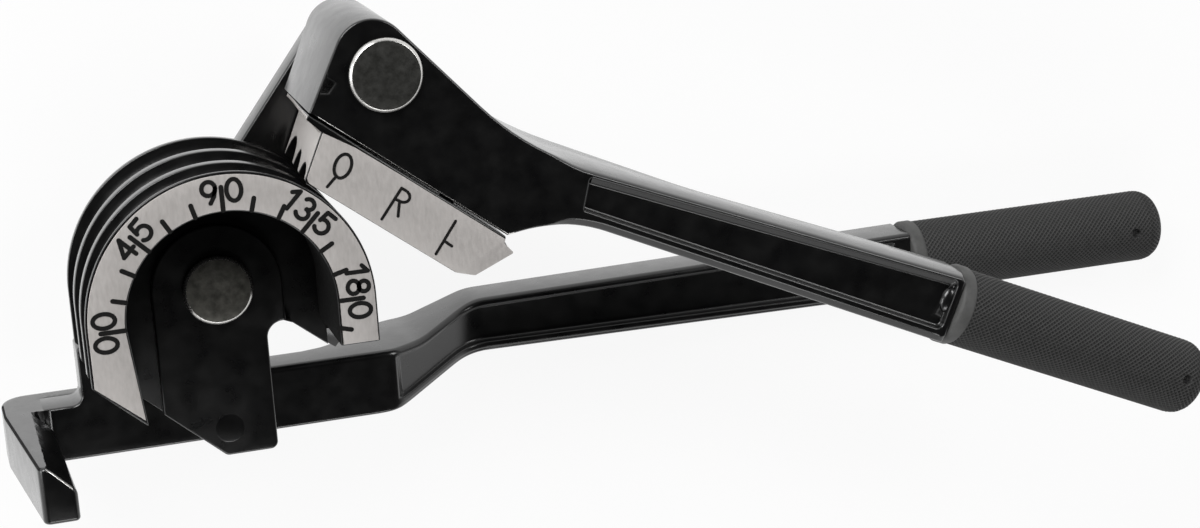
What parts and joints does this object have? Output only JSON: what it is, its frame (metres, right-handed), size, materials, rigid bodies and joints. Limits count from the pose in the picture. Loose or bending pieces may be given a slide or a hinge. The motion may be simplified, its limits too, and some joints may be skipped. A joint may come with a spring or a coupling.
{
  "type": "lever tube bender",
  "caption": "Black hand lever tube bender with a grooved forming wheel, a silver angle scale, a forming shoe with a silver face and knurled rubber grips.",
  "frame": {"origin": "middle of the underside of the bounding box, with the tool lying on its back", "axes": "+X along the lower handle towards its grip, +Y towards the upper pin, +Z out of the scale plate"},
  "size_m": [0.2318, 0.0918, 0.0555],
  "materials": {
    "black_paint": "gloss",
    "aluminium": "satin",
    "plated_steel": "satin",
    "spring_steel": "satin",
    "rubber": "matte"
  },
  "bodies": {
    "lower_tool": {"lower_handle": "black_paint", "lower_grip": "rubber", "forming_wheel": "black_paint", "scale_plate": "aluminium", "wheel_rivet": "plated_steel", "wheel_dowel": "plated_steel", "centre_pin": "plated_steel", "centre_washer": "plated_steel", "centre_clip": "spring_steel"},
    "link": {"link_plate": "black_paint"},
    "forming_handle": {"upper_handle": "black_paint", "forming_shoe": "black_paint", "shoe_plate": "aluminium", "shoe_dowel_1": "plated_steel", "shoe_dowel_2": "plated_steel", "upper_grip": "rubber", "upper_pin": "plated_steel", "upper_washer": "plated_steel", "upper_clip": "spring_steel", "thrust_washer": "plated_steel"}
  },
  "joints": [
    {"name": "link_swing", "type": "hinge", "parent": "lower_tool", "child": "link", "pos_m": [-0.07845, -0.0002, 0.05535], "axis": [0, 0, 1], "range_deg": [-52, 128]},
    {"name": "handle_pivot", "type": "hinge", "parent": "link", "child": "forming_handle", "pos_m": [-0.04976, 0.03652, 0.05535], "axis": [0, 0, 1], "range_deg": [0, 100]}
  ]
}
